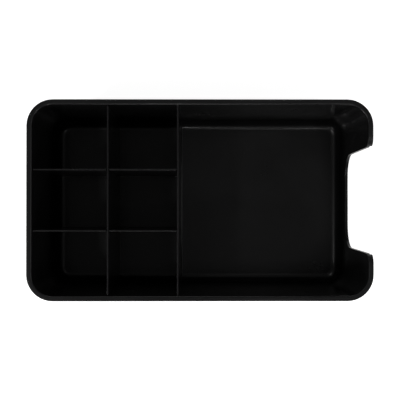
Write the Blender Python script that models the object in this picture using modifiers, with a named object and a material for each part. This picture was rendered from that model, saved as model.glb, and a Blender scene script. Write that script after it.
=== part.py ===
"""Bar caddy: a deep black tub with a napkin bay at its notched end and six cells at the other.

One moulding makes the floor, the drafted walls, the lipped rim, the notch and the partition.
Three slats slot together into a grid that lifts out of the cell end, and four pads sit under
the floor. Metres, +Z up, +X towards the notched end. The origin is on the table, under the
middle of the rim.
"""

import math

import bmesh
import bpy
from mathutils import Vector

MM = 0.001

# Outline of the rim and overall height
RIM_LENGTH = 241.3 * MM
RIM_WIDTH = 140.3 * MM
HEIGHT = 108.0 * MM
CORNER_RADIUS = 18.3 * MM

# Walls, rim lip and floor of the tub
WALL = 2.2 * MM
LIP_REACH = 1.5 * MM
LIP_HEIGHT = 5.0 * MM
LIP_UNDER_RADIUS = 0.6 * MM
RIM_OUTER_RADIUS = 0.25 * MM
RIM_INNER_RADIUS = 1.0 * MM
DRAFT = math.radians(1.4)
NOTCHED_END_DRAFT = math.radians(2.6)
FLOOR = 2.8 * MM
FLOOR_FILLET = 7.0 * MM
BASE_EDGE_RADIUS = FLOOR_FILLET + WALL

# Partition between the napkin bay and the cells
PARTITION_X = -15.7 * MM
PARTITION_DROP = 1.5 * MM
PARTITION_TOP_THICKNESS = 1.1 * MM
PARTITION_DRAFT = math.radians(0.45)
PARTITION_BASE_FILLET = 1.0 * MM
PARTITION_WALL_FILLET = 0.8 * MM
PARTITION_TOP_RADIUS = 0.35 * MM

# Notch in the end wall
NOTCH_WIDTH = 74.4 * MM
NOTCH_DEPTH = 80.5 * MM
NOTCH_TAPER = math.radians(1.5)
NOTCH_CORNER_RADIUS = 17.0 * MM
NOTCH_SHOULDER_RADIUS = 8.0 * MM
NOTCH_EDGE_RADIUS = 0.25 * MM

# Lift-out grid of three slats
CROSS_DIVIDER_X = -64.4 * MM
BACK_DIVIDER_Y = 21.3 * MM
FRONT_DIVIDER_Y = -21.3 * MM
DIVIDER_DROP = 1.5 * MM
DIVIDER_TOP_THICKNESS = 1.1 * MM
DIVIDER_DRAFT = math.radians(0.25)
DIVIDER_EDGE_RADIUS = 0.3 * MM
DIVIDER_END_RADIUS = 0.6 * MM
LAP_SHARE = 0.5
SLOT_CLEARANCE = 0.25 * MM
SEAT_CLEARANCE = 0.3 * MM

# Non-slip pads under the floor
PAD_RADIUS = 7.0 * MM
PAD_PROUD = 1.2 * MM
PAD_POCKET = 1.2 * MM
PAD_EDGE_CHAMFER = 0.4 * MM
PAD_GAP = 0.3 * MM
PAD_MARGIN = 1.5 * MM

# How far cutters run past what they cut, joined forms run into each other, and a surface
# passes one that it is tangent to
OVERRUN = 6.0 * MM
BURY = 1.0 * MM
SEAM = 0.02 * MM

# Facets
CORNER_STEPS = 10
FILLET_STEPS = 8
EDGE_STEPS = 3
END_STEPS = 4
NOTCH_STEPS = 8
PAD_STEPS = 40
SHARP_ANGLE = math.radians(32)

QUARTER = math.radians(90)
UNDERSIDE_Z = PAD_PROUD
FLOOR_Z = UNDERSIDE_Z + FLOOR
SLOPE = math.tan(DRAFT)
NOTCHED_END_EXTRA_SLOPE = math.tan(NOTCHED_END_DRAFT) - SLOPE

# Linear base colour, roughness
FINISHES = {
    "tub_plastic": ((0.0048, 0.0048, 0.0050), 0.27),
    "divider_plastic": ((0.0048, 0.0048, 0.0050), 0.27),
    "pad_rubber": ((0.028, 0.028, 0.030), 0.85),
}


def clear_scene():
    for obj in list(bpy.data.objects):
        bpy.data.objects.remove(obj, do_unlink=True)


def new_collection(name):
    collection = bpy.data.collections.new(name)
    bpy.context.scene.collection.children.link(collection)
    return collection


def finish(obj, name):
    """Gives the object a Principled material of its own in one of the finishes."""
    colour, roughness = FINISHES[name]
    material = bpy.data.materials.new(f"{obj.name}_{name}")
    material.use_nodes = True
    shader = material.node_tree.nodes["Principled BSDF"]
    shader.inputs["Base Color"].default_value = (*colour, 1)
    shader.inputs["Roughness"].default_value = roughness
    shader.inputs["Metallic"].default_value = 0
    obj.data.materials.clear()
    obj.data.materials.append(material)


def shade(mesh):
    mesh.shade_smooth()
    mesh.set_sharp_from_angle(angle=SHARP_ANGLE)


def bake_modifiers(obj):
    """Turns the modified form into the mesh itself, so that its cut edges shade sharp."""
    graph = bpy.context.evaluated_depsgraph_get()
    mesh = bpy.data.meshes.new_from_object(obj.evaluated_get(graph))
    obj.modifiers.clear()
    obj.data = mesh
    shade(mesh)


def as_cutter(obj):
    obj.hide_render = True
    obj.display_type = "WIRE"
    return obj


def boolean(obj, other, operation):
    modifier = obj.modifiers.new(f"{operation.lower()}_{other.name}", "BOOLEAN")
    modifier.operation = operation
    modifier.solver = "EXACT"
    modifier.object = other


def quarter_turn(steps):
    """Angles from zero to a right angle, both ends included."""
    return [QUARTER * step / steps for step in range(steps + 1)]


def loft(name, rings, collection):
    """Closed form through rings of equal point count, in order, with both end rings capped.
    The rings turn anticlockwise seen from the end that the loft runs to."""
    mesh = bmesh.new()
    rows = [[mesh.verts.new(point) for point in ring] for ring in rings]
    count = len(rings[0])
    for low, high in zip(rows, rows[1:]):
        for i in range(count):
            j = (i + 1) % count
            mesh.faces.new((low[i], low[j], high[j], high[i]))
    mesh.faces.new(list(reversed(rows[0])))
    mesh.faces.new(rows[-1])
    data = bpy.data.meshes.new(name)
    mesh.to_mesh(data)
    mesh.free()
    shade(data)
    obj = bpy.data.objects.new(name, data)
    collection.objects.link(obj)
    return obj


# Tub

def outer_inset(z):
    """How far the outer wall lies inside the rim's outline at this height."""
    return LIP_REACH + (HEIGHT - z) * SLOPE


def inner_inset(z):
    return outer_inset(z) + WALL


def inner_half_width(z):
    return RIM_WIDTH / 2 - inner_inset(z)


def plain_end_reach(z):
    """Distance from the middle to the inner face of the plain end wall at this height."""
    return RIM_LENGTH / 2 - inner_inset(z)


def notched_end_extra(z):
    """How much further in the notched end wall lies, for it slopes more than the others."""
    return (HEIGHT - z) * NOTCHED_END_EXTRA_SLOPE


def notched_end_reach(z):
    return plain_end_reach(z) - notched_end_extra(z)


def tub_ring(inset, z):
    """The rim's rounded rectangle taken in by an inset, so that its corners tighten."""
    points = []
    radius = CORNER_RADIUS - inset
    for turn, (side_x, side_y) in enumerate(((1, 1), (-1, 1), (-1, -1), (1, -1))):
        centre_x = side_x * (RIM_LENGTH / 2 - CORNER_RADIUS)
        centre_y = side_y * (RIM_WIDTH / 2 - CORNER_RADIUS)
        squeeze = notched_end_extra(z) if side_x > 0 else 0
        for angle in quarter_turn(CORNER_STEPS):
            angle += turn * QUARTER
            x = centre_x + (radius - squeeze) * math.cos(angle)
            y = centre_y + radius * math.sin(angle)
            points.append(Vector((x, y, z)))
    return points


def tub_section():
    """Insets and heights along the wall's section: base edge, outside, lip, rim, inside, floor."""
    section = []
    edge_z = UNDERSIDE_Z + BASE_EDGE_RADIUS
    edge_inset = outer_inset(edge_z) + BASE_EDGE_RADIUS
    for angle in quarter_turn(FILLET_STEPS):
        section.append(
            (
                edge_inset - BASE_EDGE_RADIUS * math.sin(angle),
                edge_z - BASE_EDGE_RADIUS * math.cos(angle),
            )
        )
    lip_z = HEIGHT - LIP_HEIGHT
    section.append((outer_inset(lip_z), lip_z))
    for angle in quarter_turn(EDGE_STEPS):
        section.append(
            (
                LIP_UNDER_RADIUS * (1 - math.sin(angle)),
                lip_z + LIP_UNDER_RADIUS * (1 - math.cos(angle)),
            )
        )
    for angle in quarter_turn(EDGE_STEPS):
        section.append(
            (
                RIM_OUTER_RADIUS * (1 - math.cos(angle)),
                HEIGHT - RIM_OUTER_RADIUS * (1 - math.sin(angle)),
            )
        )
    round_z = HEIGHT - RIM_INNER_RADIUS
    round_inset = inner_inset(round_z) - RIM_INNER_RADIUS
    for angle in quarter_turn(EDGE_STEPS):
        section.append(
            (
                round_inset + RIM_INNER_RADIUS * math.sin(angle),
                round_z + RIM_INNER_RADIUS * math.cos(angle),
            )
        )
    fillet_z = FLOOR_Z + FLOOR_FILLET
    fillet_inset = inner_inset(fillet_z) + FLOOR_FILLET
    for angle in quarter_turn(FILLET_STEPS):
        section.append(
            (
                fillet_inset - FLOOR_FILLET * math.cos(angle),
                fillet_z - FLOOR_FILLET * math.sin(angle),
            )
        )
    return section


def partition_half(z):
    """Half the partition's thickness at this height, above its base fillet."""
    top_z = HEIGHT - PARTITION_DROP
    return PARTITION_TOP_THICKNESS / 2 + (top_z - z) * math.tan(PARTITION_DRAFT)


def floor_rise(along):
    """How far the floor has curved up, at a place given by its distance past the wall's face."""
    inwards = min(max(FLOOR_FILLET + along, 0), FLOOR_FILLET)
    return FLOOR_FILLET - math.sqrt(FLOOR_FILLET**2 - inwards**2)


def partition_section(foot_rise, growth):
    """Half section of the partition from its buried foot to its top: offsets and heights.
    Its foot rises with the floor, and it grows sideways and up to meet a wall in a fillet."""
    fillet_z = FLOOR_Z + foot_rise + PARTITION_BASE_FILLET - SEAM
    foot = partition_half(fillet_z) + PARTITION_BASE_FILLET
    half = [(foot + growth, FLOOR_Z + foot_rise - BURY)]
    for angle in quarter_turn(FILLET_STEPS):
        half.append(
            (
                foot - PARTITION_BASE_FILLET * math.sin(angle) + growth,
                fillet_z - PARTITION_BASE_FILLET * math.cos(angle),
            )
        )
    round_z = HEIGHT - PARTITION_DROP - PARTITION_TOP_RADIUS
    round_half = partition_half(round_z) - PARTITION_TOP_RADIUS
    for angle in quarter_turn(EDGE_STEPS):
        half.append(
            (
                round_half + PARTITION_TOP_RADIUS * math.cos(angle) + growth,
                round_z + PARTITION_TOP_RADIUS * math.sin(angle) + growth,
            )
        )
    return half


def partition_ring(side, along, growth):
    """One section of the partition, a distance past the inner face of the wall on that side."""
    half = partition_section(floor_rise(along), growth)
    mirrored = [(-offset, z) for offset, z in half]
    ring = []
    for offset, z in mirrored + list(reversed(half)):
        wall_y = inner_half_width(max(z, FLOOR_Z + FLOOR_FILLET))
        ring.append(Vector((PARTITION_X + offset, side * (wall_y + along), z)))
    return ring


def partition_stations():
    """Distances past the wall's face, out from the floor's flat, and the growth at each."""
    stations = []
    for angle in quarter_turn(FILLET_STEPS):
        along = -FLOOR_FILLET * (1 - math.sin(angle))
        if along < -PARTITION_WALL_FILLET:
            stations.append((along, 0))
    for angle in quarter_turn(FILLET_STEPS):
        along = SEAM - PARTITION_WALL_FILLET * (1 - math.sin(angle))
        stations.append((along, PARTITION_WALL_FILLET * (1 - math.cos(angle))))
    return stations + [(BURY, PARTITION_WALL_FILLET)]


def make_partition(collection):
    stations = partition_stations()
    rings = [partition_ring(1, along, growth) for along, growth in reversed(stations)]
    rings += [partition_ring(-1, along, growth) for along, growth in stations]
    return loft("partition_form", rings, collection)


def notch_half(z):
    return NOTCH_WIDTH / 2 - (HEIGHT - z) * math.tan(NOTCH_TAPER)


def notch_outline(grow):
    """Y and Z round the notch, anticlockwise from outside its wall, let out by grow."""
    bottom_z = HEIGHT - NOTCH_DEPTH
    corner_z = bottom_z + NOTCH_CORNER_RADIUS
    corner_y = notch_half(corner_z) - NOTCH_CORNER_RADIUS
    shoulder_z = HEIGHT + SEAM - NOTCH_SHOULDER_RADIUS
    shoulder_y = notch_half(shoulder_z) + NOTCH_SHOULDER_RADIUS
    side = [(shoulder_y, HEIGHT + OVERRUN)]
    for angle in quarter_turn(NOTCH_STEPS):
        radius = NOTCH_SHOULDER_RADIUS - grow
        side.append(
            (
                shoulder_y - radius * math.sin(angle),
                shoulder_z + radius * math.cos(angle),
            )
        )
    for angle in quarter_turn(NOTCH_STEPS):
        radius = NOTCH_CORNER_RADIUS + grow
        side.append(
            (
                corner_y + radius * math.cos(angle),
                corner_z - radius * math.sin(angle),
            )
        )
    return [(-y, z) for y, z in side] + list(reversed(side))


def make_notch_cutter(collection):
    """Follows the slope of the end wall and rounds both edges of the cut."""
    stations = [(-OVERRUN, NOTCH_EDGE_RADIUS)]
    for angle in quarter_turn(EDGE_STEPS):
        depth = NOTCH_EDGE_RADIUS * (1 - math.cos(angle)) - SEAM
        stations.append((depth, NOTCH_EDGE_RADIUS * (1 - math.sin(angle))))
    for angle in quarter_turn(EDGE_STEPS):
        depth = WALL + SEAM - NOTCH_EDGE_RADIUS * (1 - math.sin(angle))
        stations.append((depth, NOTCH_EDGE_RADIUS * (1 - math.cos(angle))))
    stations.append((WALL + LIP_REACH + OVERRUN, NOTCH_EDGE_RADIUS))
    rings = []
    for depth, grow in stations:
        ring = []
        for y, z in notch_outline(grow):
            ring.append(Vector((notched_end_reach(z) + depth, y, z)))
        rings.append(ring)
    return as_cutter(loft("notch_cutter", rings, collection))


def pad_places():
    """Names and centres of the pads, each in a corner of the flat of the base."""
    edge_z = UNDERSIDE_Z + BASE_EDGE_RADIUS
    inset = outer_inset(edge_z) + BASE_EDGE_RADIUS + PAD_RADIUS + PAD_MARGIN
    left = RIM_LENGTH / 2 - inset
    right = left - notched_end_extra(edge_z)
    side = RIM_WIDTH / 2 - inset
    return {
        "foot_front_left": (-left, -side),
        "foot_front_right": (right, -side),
        "foot_back_left": (-left, side),
        "foot_back_right": (right, side),
    }


def make_pad_pocket(name, x, y, collection):
    bpy.ops.mesh.primitive_cylinder_add(
        vertices=PAD_STEPS,
        radius=PAD_RADIUS + PAD_GAP,
        depth=PAD_POCKET + OVERRUN,
        location=(x, y, UNDERSIDE_Z + PAD_POCKET - (PAD_POCKET + OVERRUN) / 2),
    )
    pocket = bpy.context.object
    pocket.name = f"{name}_pocket_cutter"
    for owner in list(pocket.users_collection):
        owner.objects.unlink(pocket)
    collection.objects.link(pocket)
    return as_cutter(pocket)


def make_tub(parts, cutters):
    rings = [tub_ring(inset, z) for inset, z in tub_section()]
    tub = loft("tub", rings, parts)
    boolean(tub, as_cutter(make_partition(cutters)), "UNION")
    boolean(tub, make_notch_cutter(cutters), "DIFFERENCE")
    for name, (x, y) in pad_places().items():
        boolean(tub, make_pad_pocket(name, x, y, cutters), "DIFFERENCE")
    bake_modifiers(tub)
    finish(tub, "tub_plastic")
    return tub


# Grid of slats

TOP_Z = HEIGHT - DIVIDER_DROP
BOTTOM_Z = FLOOR_Z + SEAT_CLEARANCE
LAP_Z = BOTTOM_Z + (TOP_Z - BOTTOM_Z) * LAP_SHARE


def divider_half(z):
    return DIVIDER_TOP_THICKNESS / 2 + (TOP_Z - z) * math.tan(DIVIDER_DRAFT)


def foot_profile(reach, fillet):
    """Distances and heights round the foot of a slat's end, clear of the floor fillet there."""
    fillet_z = FLOOR_Z + fillet
    centre = reach(fillet_z) - fillet
    radius = fillet - SEAT_CLEARANCE
    return [
        (centre + radius * math.sin(angle), fillet_z - radius * math.cos(angle))
        for angle in quarter_turn(FILLET_STEPS)
    ]


def wall_end_profile(reach):
    """Distances and heights up a slat's end at a wall of the tub, to its rounded top corner."""
    round_z = TOP_Z - DIVIDER_END_RADIUS
    centre = reach(round_z) - SEAT_CLEARANCE - DIVIDER_END_RADIUS
    points = foot_profile(reach, FLOOR_FILLET)
    for angle in quarter_turn(END_STEPS):
        points.append(
            (
                centre + DIVIDER_END_RADIUS * math.cos(angle),
                round_z + DIVIDER_END_RADIUS * math.sin(angle),
            )
        )
    return points


def partition_side(z):
    return PARTITION_X - partition_half(z)


def partition_end_profile():
    """Distances and heights up a slat's end at the partition, which it meets level and square."""
    points = foot_profile(partition_side, PARTITION_BASE_FILLET)
    return points + [(partition_side(TOP_Z) - SEAT_CLEARANCE, TOP_Z)]


def slot_up(at, half, end_z):
    """A slot open at the slat's foot, tapered with the slat that it takes."""
    low = half(BOTTOM_Z) + SLOT_CLEARANCE
    high = half(end_z) + SLOT_CLEARANCE
    return [(at - low, BOTTOM_Z), (at - high, end_z), (at + high, end_z), (at + low, BOTTOM_Z)]


def slot_down(at, half, end_z):
    """A slot open at the slat's top, as wide as the thickest stretch that passes through it."""
    width = half(end_z) + SLOT_CLEARANCE
    return [(at + width, TOP_Z), (at + width, end_z), (at - width, end_z), (at - width, TOP_Z)]


def make_slat(name, outline, place, collection):
    """A tapered slat from its outline of distances and heights. place puts a distance, a
    thickness offset and a height into the caddy."""
    rings = []
    for side in (-1, 1):
        rings.append([place(along, side * divider_half(z), z) for along, z in outline])
    slat = loft(name, rings, collection)
    bevel = slat.modifiers.new("edge_round", "BEVEL")
    bevel.width = DIVIDER_EDGE_RADIUS
    bevel.segments = EDGE_STEPS
    bevel.limit_method = "ANGLE"
    bevel.angle_limit = SHARP_ANGLE
    bake_modifiers(slat)
    finish(slat, "divider_plastic")
    return slat


def make_cross_divider(collection):
    ends = wall_end_profile(inner_half_width)
    slot_end = LAP_Z + SLOT_CLEARANCE
    outline = [(-along, z) for along, z in reversed(ends)]
    for at in (FRONT_DIVIDER_Y, BACK_DIVIDER_Y):
        outline += slot_up(at, divider_half, slot_end)
    outline += ends

    def place(along, offset, z):
        return Vector((CROSS_DIVIDER_X + offset, along, z))

    return make_slat("cross_divider", outline, place, collection)


def make_long_divider(name, y, collection):
    slot_end = LAP_Z - SLOT_CLEARANCE
    outline = [(-along, z) for along, z in reversed(wall_end_profile(plain_end_reach))]
    outline += partition_end_profile()
    outline += slot_down(CROSS_DIVIDER_X, divider_half, slot_end)

    def place(along, offset, z):
        return Vector((along, y - offset, z))

    return make_slat(name, outline, place, collection)


# Pads

def make_pad(name, x, y, collection):
    """A turned pad: its section runs down its outer side, from the top to the middle below."""
    top = UNDERSIDE_Z + PAD_POCKET - PAD_GAP
    section = [
        (0, top),
        (PAD_RADIUS - PAD_EDGE_CHAMFER, top),
        (PAD_RADIUS, top - PAD_EDGE_CHAMFER),
        (PAD_RADIUS, PAD_EDGE_CHAMFER),
        (PAD_RADIUS - PAD_EDGE_CHAMFER, 0),
        (0, 0),
    ]
    data = bpy.data.meshes.new(name)
    edges = [(i, i + 1) for i in range(len(section) - 1)]
    data.from_pydata([(radius, 0, z) for radius, z in section], edges, [])
    pad = bpy.data.objects.new(name, data)
    collection.objects.link(pad)
    pad.location = (x, y, 0)
    screw = pad.modifiers.new("turn", "SCREW")
    screw.axis = "Z"
    screw.steps = PAD_STEPS
    screw.render_steps = PAD_STEPS
    screw.use_merge_vertices = True
    screw.merge_threshold = SEAM
    bake_modifiers(pad)
    finish(pad, "pad_rubber")
    return pad


def main():
    clear_scene()
    parts = new_collection("bar_caddy")
    cutters = new_collection("cutters")
    make_tub(parts, cutters)
    make_cross_divider(parts)
    make_long_divider("long_divider_back", BACK_DIVIDER_Y, parts)
    make_long_divider("long_divider_front", FRONT_DIVIDER_Y, parts)
    for name, (x, y) in pad_places().items():
        make_pad(name, x, y, parts)


main()
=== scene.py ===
"""Looks of the bar caddy: black moulded plastic, rubber pads, a white table and soft light."""

import math

import bpy
from mathutils import Matrix, Vector


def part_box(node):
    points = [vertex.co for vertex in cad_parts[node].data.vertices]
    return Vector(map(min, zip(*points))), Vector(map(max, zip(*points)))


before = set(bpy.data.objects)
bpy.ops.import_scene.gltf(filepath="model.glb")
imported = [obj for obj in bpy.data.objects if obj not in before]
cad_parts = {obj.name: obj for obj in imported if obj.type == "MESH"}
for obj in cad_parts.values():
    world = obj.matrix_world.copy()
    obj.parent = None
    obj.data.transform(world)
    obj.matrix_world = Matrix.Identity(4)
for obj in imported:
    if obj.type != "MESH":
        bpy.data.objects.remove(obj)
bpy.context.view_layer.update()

# Where the camera stands, the point on the rim's plane that it looks at, and the width of that
# plane that fills the frame, in metres; the sensor is in millimetres
RIM_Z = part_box("tub")[1].z
CAMERA_PLACE = Vector((-0.0048, -0.0075, RIM_Z + 0.672))
CAMERA_TARGET = Vector((-0.0001, 0.0001, RIM_Z))
SENSOR = 36.0
FRAME_WIDTH_AT_RIM = 0.2777

# Edges that turn by more than this are drawn sharp, and points nearer than this, in metres,
# count as one
SHARP_ANGLE = math.radians(32)
SAME_POINT = 0.000001

# Linear colours, and the gloss of the plastic and the rubber
PLASTIC_COLOUR = (0.0048, 0.0048, 0.0050)
PLASTIC_ROUGHNESS = 0.29
PLASTIC_SPECULAR = 0.17
PLASTIC_COAT = 0.2
PLASTIC_COAT_ROUGHNESS = 0.1
DUST_COLOUR = (0.030, 0.029, 0.027)
RUBBER_COLOUR = (0.028, 0.028, 0.030)
RUBBER_ROUGHNESS = 0.8
TABLE_COLOUR = (0.8, 0.8, 0.8)
TABLE_ROUGHNESS = 0.9
TABLE_SIZE = 6

# Scales of the patterns, the larger the finer, and the depths of the bumps in metres
RIPPLE_SCALE = 26
RIPPLE_DEPTH = 0.0004
MOTTLE_SCALE = 28
FILM_SCALE = 45
SCUFF_SCALE = 160
CROSS_SCUFF_SCALE = 190
SPECK_SCALE = 700
SKIN_SCALE = 1400
SKIN_DEPTH = 0.00003
RUBBED_SCALE = 160
GRAIN_SCALE = 2600
GRAIN_DEPTH = 0.0001

# How the scuffs are squeezed along each axis, which draws them out along the others
SCUFF_SQUEEZE = (1, 9, 1)
CROSS_SCUFF_SQUEEZE = (7, 1, 1)

# What the table adds where the camera and mirrored rays see it, so that it is white there,
# and the even light from all round
TABLE_GLOW = 0.83
MIRRORED_TABLE_GLOW = 0.45
WORLD_LIGHT = 0.13

# How far the round lamps stand from the middle of the table under the caddy, where they aim,
# and for each its name, degrees from +X towards +Y, degrees above the table, width and watts
LAMP_DISTANCE = 1.5
LAMP_AIM = Vector((0, 0, 0.05))
LAMPS = (
    ("high_back_right", 60, 78, 0.18, 0.051),
    ("high_front_right", 300, 78, 0.18, 0.136),
    ("front_right_glint", 300, 69, 0.12, 0.24),
    ("corner_glint", 206, 64, 0.10, 2.4),
    ("front_glint", 275, 66, 0.12, 0.13),
    ("front_line_glint", 265, 58, 0.12, 0.6),
    ("right", 0, 60, 0.5, 0.99),
    ("back_left", 120, 60, 0.5, 0.9),
    ("front_right_spot", 305, 52, 0.12, 0.97),
    ("front_right_low_spot", 315, 46, 0.12, 2.3),
    ("low_back", 90, 30, 0.5, 1.1),
    ("low_front_left", 225, 30, 0.5, 7.5),
    ("lowest_front", 270, 16, 0.5, 3.0),
    ("lowest_right", 0, 16, 0.5, 1.2),
)


# Shader nodes

class Material:
    """A material under construction: its node tree, with short calls to add and link nodes."""

    def __init__(self, name):
        self.material = bpy.data.materials.new(name)
        self.material.use_nodes = True
        self.tree = self.material.node_tree
        self.shader = self.tree.nodes["Principled BSDF"]

    def link(self, output, target):
        self.tree.links.new(output, target)

    def place(self, seed, stretch=(1, 1, 1)):
        """The point on the object in metres, shifted by the seed and stretched."""
        coordinates = self.tree.nodes.new("ShaderNodeTexCoord")
        mapping = self.tree.nodes.new("ShaderNodeMapping")
        mapping.inputs["Location"].default_value = (seed, 2 * seed, 3 * seed)
        mapping.inputs["Scale"].default_value = stretch
        self.link(coordinates.outputs["Object"], mapping.inputs["Vector"])
        return mapping.outputs["Vector"]

    def noise(self, place, scale, detail):
        texture = self.tree.nodes.new("ShaderNodeTexNoise")
        texture.inputs["Scale"].default_value = scale
        texture.inputs["Detail"].default_value = detail
        self.link(place, texture.inputs["Vector"])
        return texture.outputs["Fac"]

    def spread(self, value, source, target):
        """The value, moved from one range to another and held inside it."""
        ramp = self.tree.nodes.new("ShaderNodeMapRange")
        ramp.inputs["From Min"].default_value = source[0]
        ramp.inputs["From Max"].default_value = source[1]
        ramp.inputs["To Min"].default_value = target[0]
        ramp.inputs["To Max"].default_value = target[1]
        self.link(value, ramp.inputs["Value"])
        return ramp.outputs["Result"]

    def combine(self, operation, first, second):
        node = self.tree.nodes.new("ShaderNodeMath")
        node.operation = operation
        self.link(first, node.inputs[0])
        self.link(second, node.inputs[1])
        return node.outputs["Value"]

    def blend(self, share, first, second):
        """From the first colour to the second as the share goes from 0 to 1."""
        mix = self.tree.nodes.new("ShaderNodeMix")
        mix.data_type = "RGBA"
        self.link(share, mix.inputs["Factor"])
        for colour, name in ((first, "A"), (second, "B")):
            socket = next(s for s in mix.inputs if s.name == name and s.type == "RGBA")
            if isinstance(colour, tuple):
                socket.default_value = (*colour, 1)
            else:
                self.link(colour, socket)
        return next(s for s in mix.outputs if s.type == "RGBA")

    def bump(self, height, depth, strength, under=None):
        node = self.tree.nodes.new("ShaderNodeBump")
        node.inputs["Distance"].default_value = depth
        node.inputs["Strength"].default_value = strength
        self.link(height, node.inputs["Height"])
        if under:
            self.link(under, node.inputs["Normal"])
        return node.outputs["Normal"]

    def upward(self):
        """How far the surface faces up, from 0 on a wall to 1 on a floor."""
        geometry = self.tree.nodes.new("ShaderNodeNewGeometry")
        split = self.tree.nodes.new("ShaderNodeSeparateXYZ")
        self.link(geometry.outputs["Normal"], split.inputs["Vector"])
        return self.spread(split.outputs["Z"], (0.6, 1.0), (0, 1))

    def seen(self, ray, strength):
        """The strength for this kind of ray, and 0 for every other kind."""
        path = self.tree.nodes.new("ShaderNodeLightPath")
        return self.spread(path.outputs[f"Is {ray} Ray"], (0, 1), (0, strength))


def shade_of(colour, factor):
    return tuple(channel * factor for channel in colour)


def moulded_plastic(name, seed):
    """Black plastic from the mould: uneven gloss and tone, a fine skin, scuffs and dust."""
    made = Material(name)
    place = made.place(seed)
    mottle = made.noise(place, MOTTLE_SCALE, 5)
    tone = made.blend(
        made.spread(mottle, (0.3, 0.7), (0, 1)),
        shade_of(PLASTIC_COLOUR, 0.85),
        shade_of(PLASTIC_COLOUR, 1.15),
    )
    specks = made.spread(made.noise(place, SPECK_SCALE, 4), (0.66, 0.74), (0, 0.35))
    film = made.spread(made.noise(place, FILM_SCALE, 6), (0.45, 0.75), (0, 0.05))
    dust = made.combine("MULTIPLY", made.combine("MAXIMUM", specks, film), made.upward())
    made.link(made.blend(dust, tone, DUST_COLOUR), made.shader.inputs["Base Color"])

    gloss = made.spread(mottle, (0.3, 0.7), (PLASTIC_ROUGHNESS - 0.02, PLASTIC_ROUGHNESS + 0.03))
    scuffs = made.noise(made.place(seed + 1, SCUFF_SQUEEZE), SCUFF_SCALE, 6)
    cross_scuffs = made.noise(made.place(seed + 2, CROSS_SCUFF_SQUEEZE), CROSS_SCUFF_SCALE, 6)
    worn = made.spread(made.combine("MAXIMUM", scuffs, cross_scuffs), (0.6, 0.8), (0, 0.09))
    made.link(made.combine("ADD", gloss, worn), made.shader.inputs["Roughness"])

    skin = made.bump(made.noise(place, SKIN_SCALE, 2), SKIN_DEPTH, 0.2)
    ripple = made.bump(made.noise(place, RIPPLE_SCALE, 1), RIPPLE_DEPTH, 0.25, skin)
    made.link(ripple, made.shader.inputs["Normal"])
    made.shader.inputs["Specular IOR Level"].default_value = PLASTIC_SPECULAR
    made.shader.inputs["Coat Weight"].default_value = PLASTIC_COAT
    made.shader.inputs["Coat Roughness"].default_value = PLASTIC_COAT_ROUGHNESS
    return made.material


def pad_rubber(name, seed):
    """Matt rubber with a grain, darker and smoother where it has rubbed."""
    made = Material(name)
    place = made.place(seed)
    patches = made.spread(made.noise(place, RUBBED_SCALE, 4), (0.35, 0.7), (0, 1))
    tone = made.blend(patches, RUBBER_COLOUR, shade_of(RUBBER_COLOUR, 1.5))
    made.link(tone, made.shader.inputs["Base Color"])
    rubbed = made.spread(patches, (0, 1), (RUBBER_ROUGHNESS - 0.12, RUBBER_ROUGHNESS + 0.08))
    made.link(rubbed, made.shader.inputs["Roughness"])
    grain = made.bump(made.noise(place, GRAIN_SCALE, 3), GRAIN_DEPTH, 0.6)
    made.link(grain, made.shader.inputs["Normal"])
    return made.material


def dress(name, material):
    """Gives a node its material, and shades its round edges smooth and its sharp ones sharp."""
    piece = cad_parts[name]
    piece.data.materials.clear()
    piece.data.materials.append(material)
    piece.data.shade_smooth()
    weld = piece.modifiers.new("equal_points_joined", "WELD")
    weld.merge_threshold = SAME_POINT
    split = piece.modifiers.new("sharp_edges", "EDGE_SPLIT")
    split.split_angle = SHARP_ANGLE
    split.use_edge_sharp = False
    weighted = piece.modifiers.new("flat_faces_stay_flat", "WEIGHTED_NORMAL")
    weighted.mode = "FACE_AREA_WITH_ANGLE"


def dress_nodes():
    for number, name in enumerate(sorted(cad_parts)):
        if name.startswith("foot_"):
            dress(name, pad_rubber(f"{name}_rubber", number))
        else:
            dress(name, moulded_plastic(f"{name}_plastic", number))


# Surroundings

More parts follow.
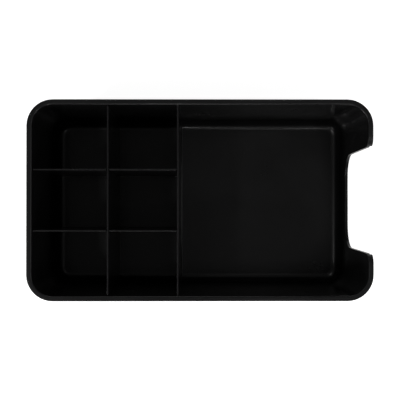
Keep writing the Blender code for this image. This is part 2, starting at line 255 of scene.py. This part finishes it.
def make_floor():
    bpy.ops.mesh.primitive_plane_add(size=TABLE_SIZE)
    floor = bpy.context.object
    floor.name = "floor"
    made = Material("white_table")
    made.shader.inputs["Base Color"].default_value = (*TABLE_COLOUR, 1)
    made.shader.inputs["Roughness"].default_value = TABLE_ROUGHNESS
    made.shader.inputs["Specular IOR Level"].default_value = 0
    made.shader.inputs["Emission Color"].default_value = (1, 1, 1, 1)
    seen = made.seen("Camera", TABLE_GLOW)
    mirrored = made.seen("Glossy", MIRRORED_TABLE_GLOW)
    made.link(made.combine("ADD", seen, mirrored), made.shader.inputs["Emission Strength"])
    floor.data.materials.append(made.material)


def make_world():
    """Faint light from all round, white to the camera where it looks past the table."""
    world = bpy.data.worlds.new("studio")
    bpy.context.scene.world = world
    world.use_nodes = True
    tree = world.node_tree
    background = tree.nodes["Background"]
    background.inputs["Color"].default_value = (1, 1, 1, 1)
    path = tree.nodes.new("ShaderNodeLightPath")
    level = tree.nodes.new("ShaderNodeMapRange")
    level.inputs["To Min"].default_value = WORLD_LIGHT
    level.inputs["To Max"].default_value = 1.0
    tree.links.new(path.outputs["Is Camera Ray"], level.inputs["Value"])
    tree.links.new(level.outputs["Result"], background.inputs["Strength"])


def make_lamp(name, compass, height, width, power):
    data = bpy.data.lights.new(name, "AREA")
    data.shape = "DISK"
    data.size = width
    data.energy = power
    lamp = bpy.data.objects.new(name, data)
    bpy.context.scene.collection.objects.link(lamp)
    compass = math.radians(compass)
    height = math.radians(height)
    flat = math.cos(height)
    away = Vector((flat * math.cos(compass), flat * math.sin(compass), math.sin(height)))
    lamp.location = LAMP_DISTANCE * away
    lamp.rotation_euler = (LAMP_AIM - lamp.location).to_track_quat("-Z", "Y").to_euler()


def make_camera():
    data = bpy.data.cameras.new("camera")
    data.sensor_width = SENSOR
    distance = (CAMERA_PLACE - CAMERA_TARGET).length
    data.lens = SENSOR * distance / FRAME_WIDTH_AT_RIM
    camera = bpy.data.objects.new("camera", data)
    bpy.context.scene.collection.objects.link(camera)
    camera.location = CAMERA_PLACE
    back = (CAMERA_PLACE - CAMERA_TARGET).normalized()
    right = Vector((0, 1, 0)).cross(back).normalized()
    camera.rotation_euler = Matrix((right, back.cross(right), back)).transposed().to_euler()
    bpy.context.scene.camera = camera


bpy.context.scene.view_settings.view_transform = "Standard"
make_camera()
dress_nodes()
make_floor()
make_world()
for lamp in LAMPS:
    make_lamp(*lamp)
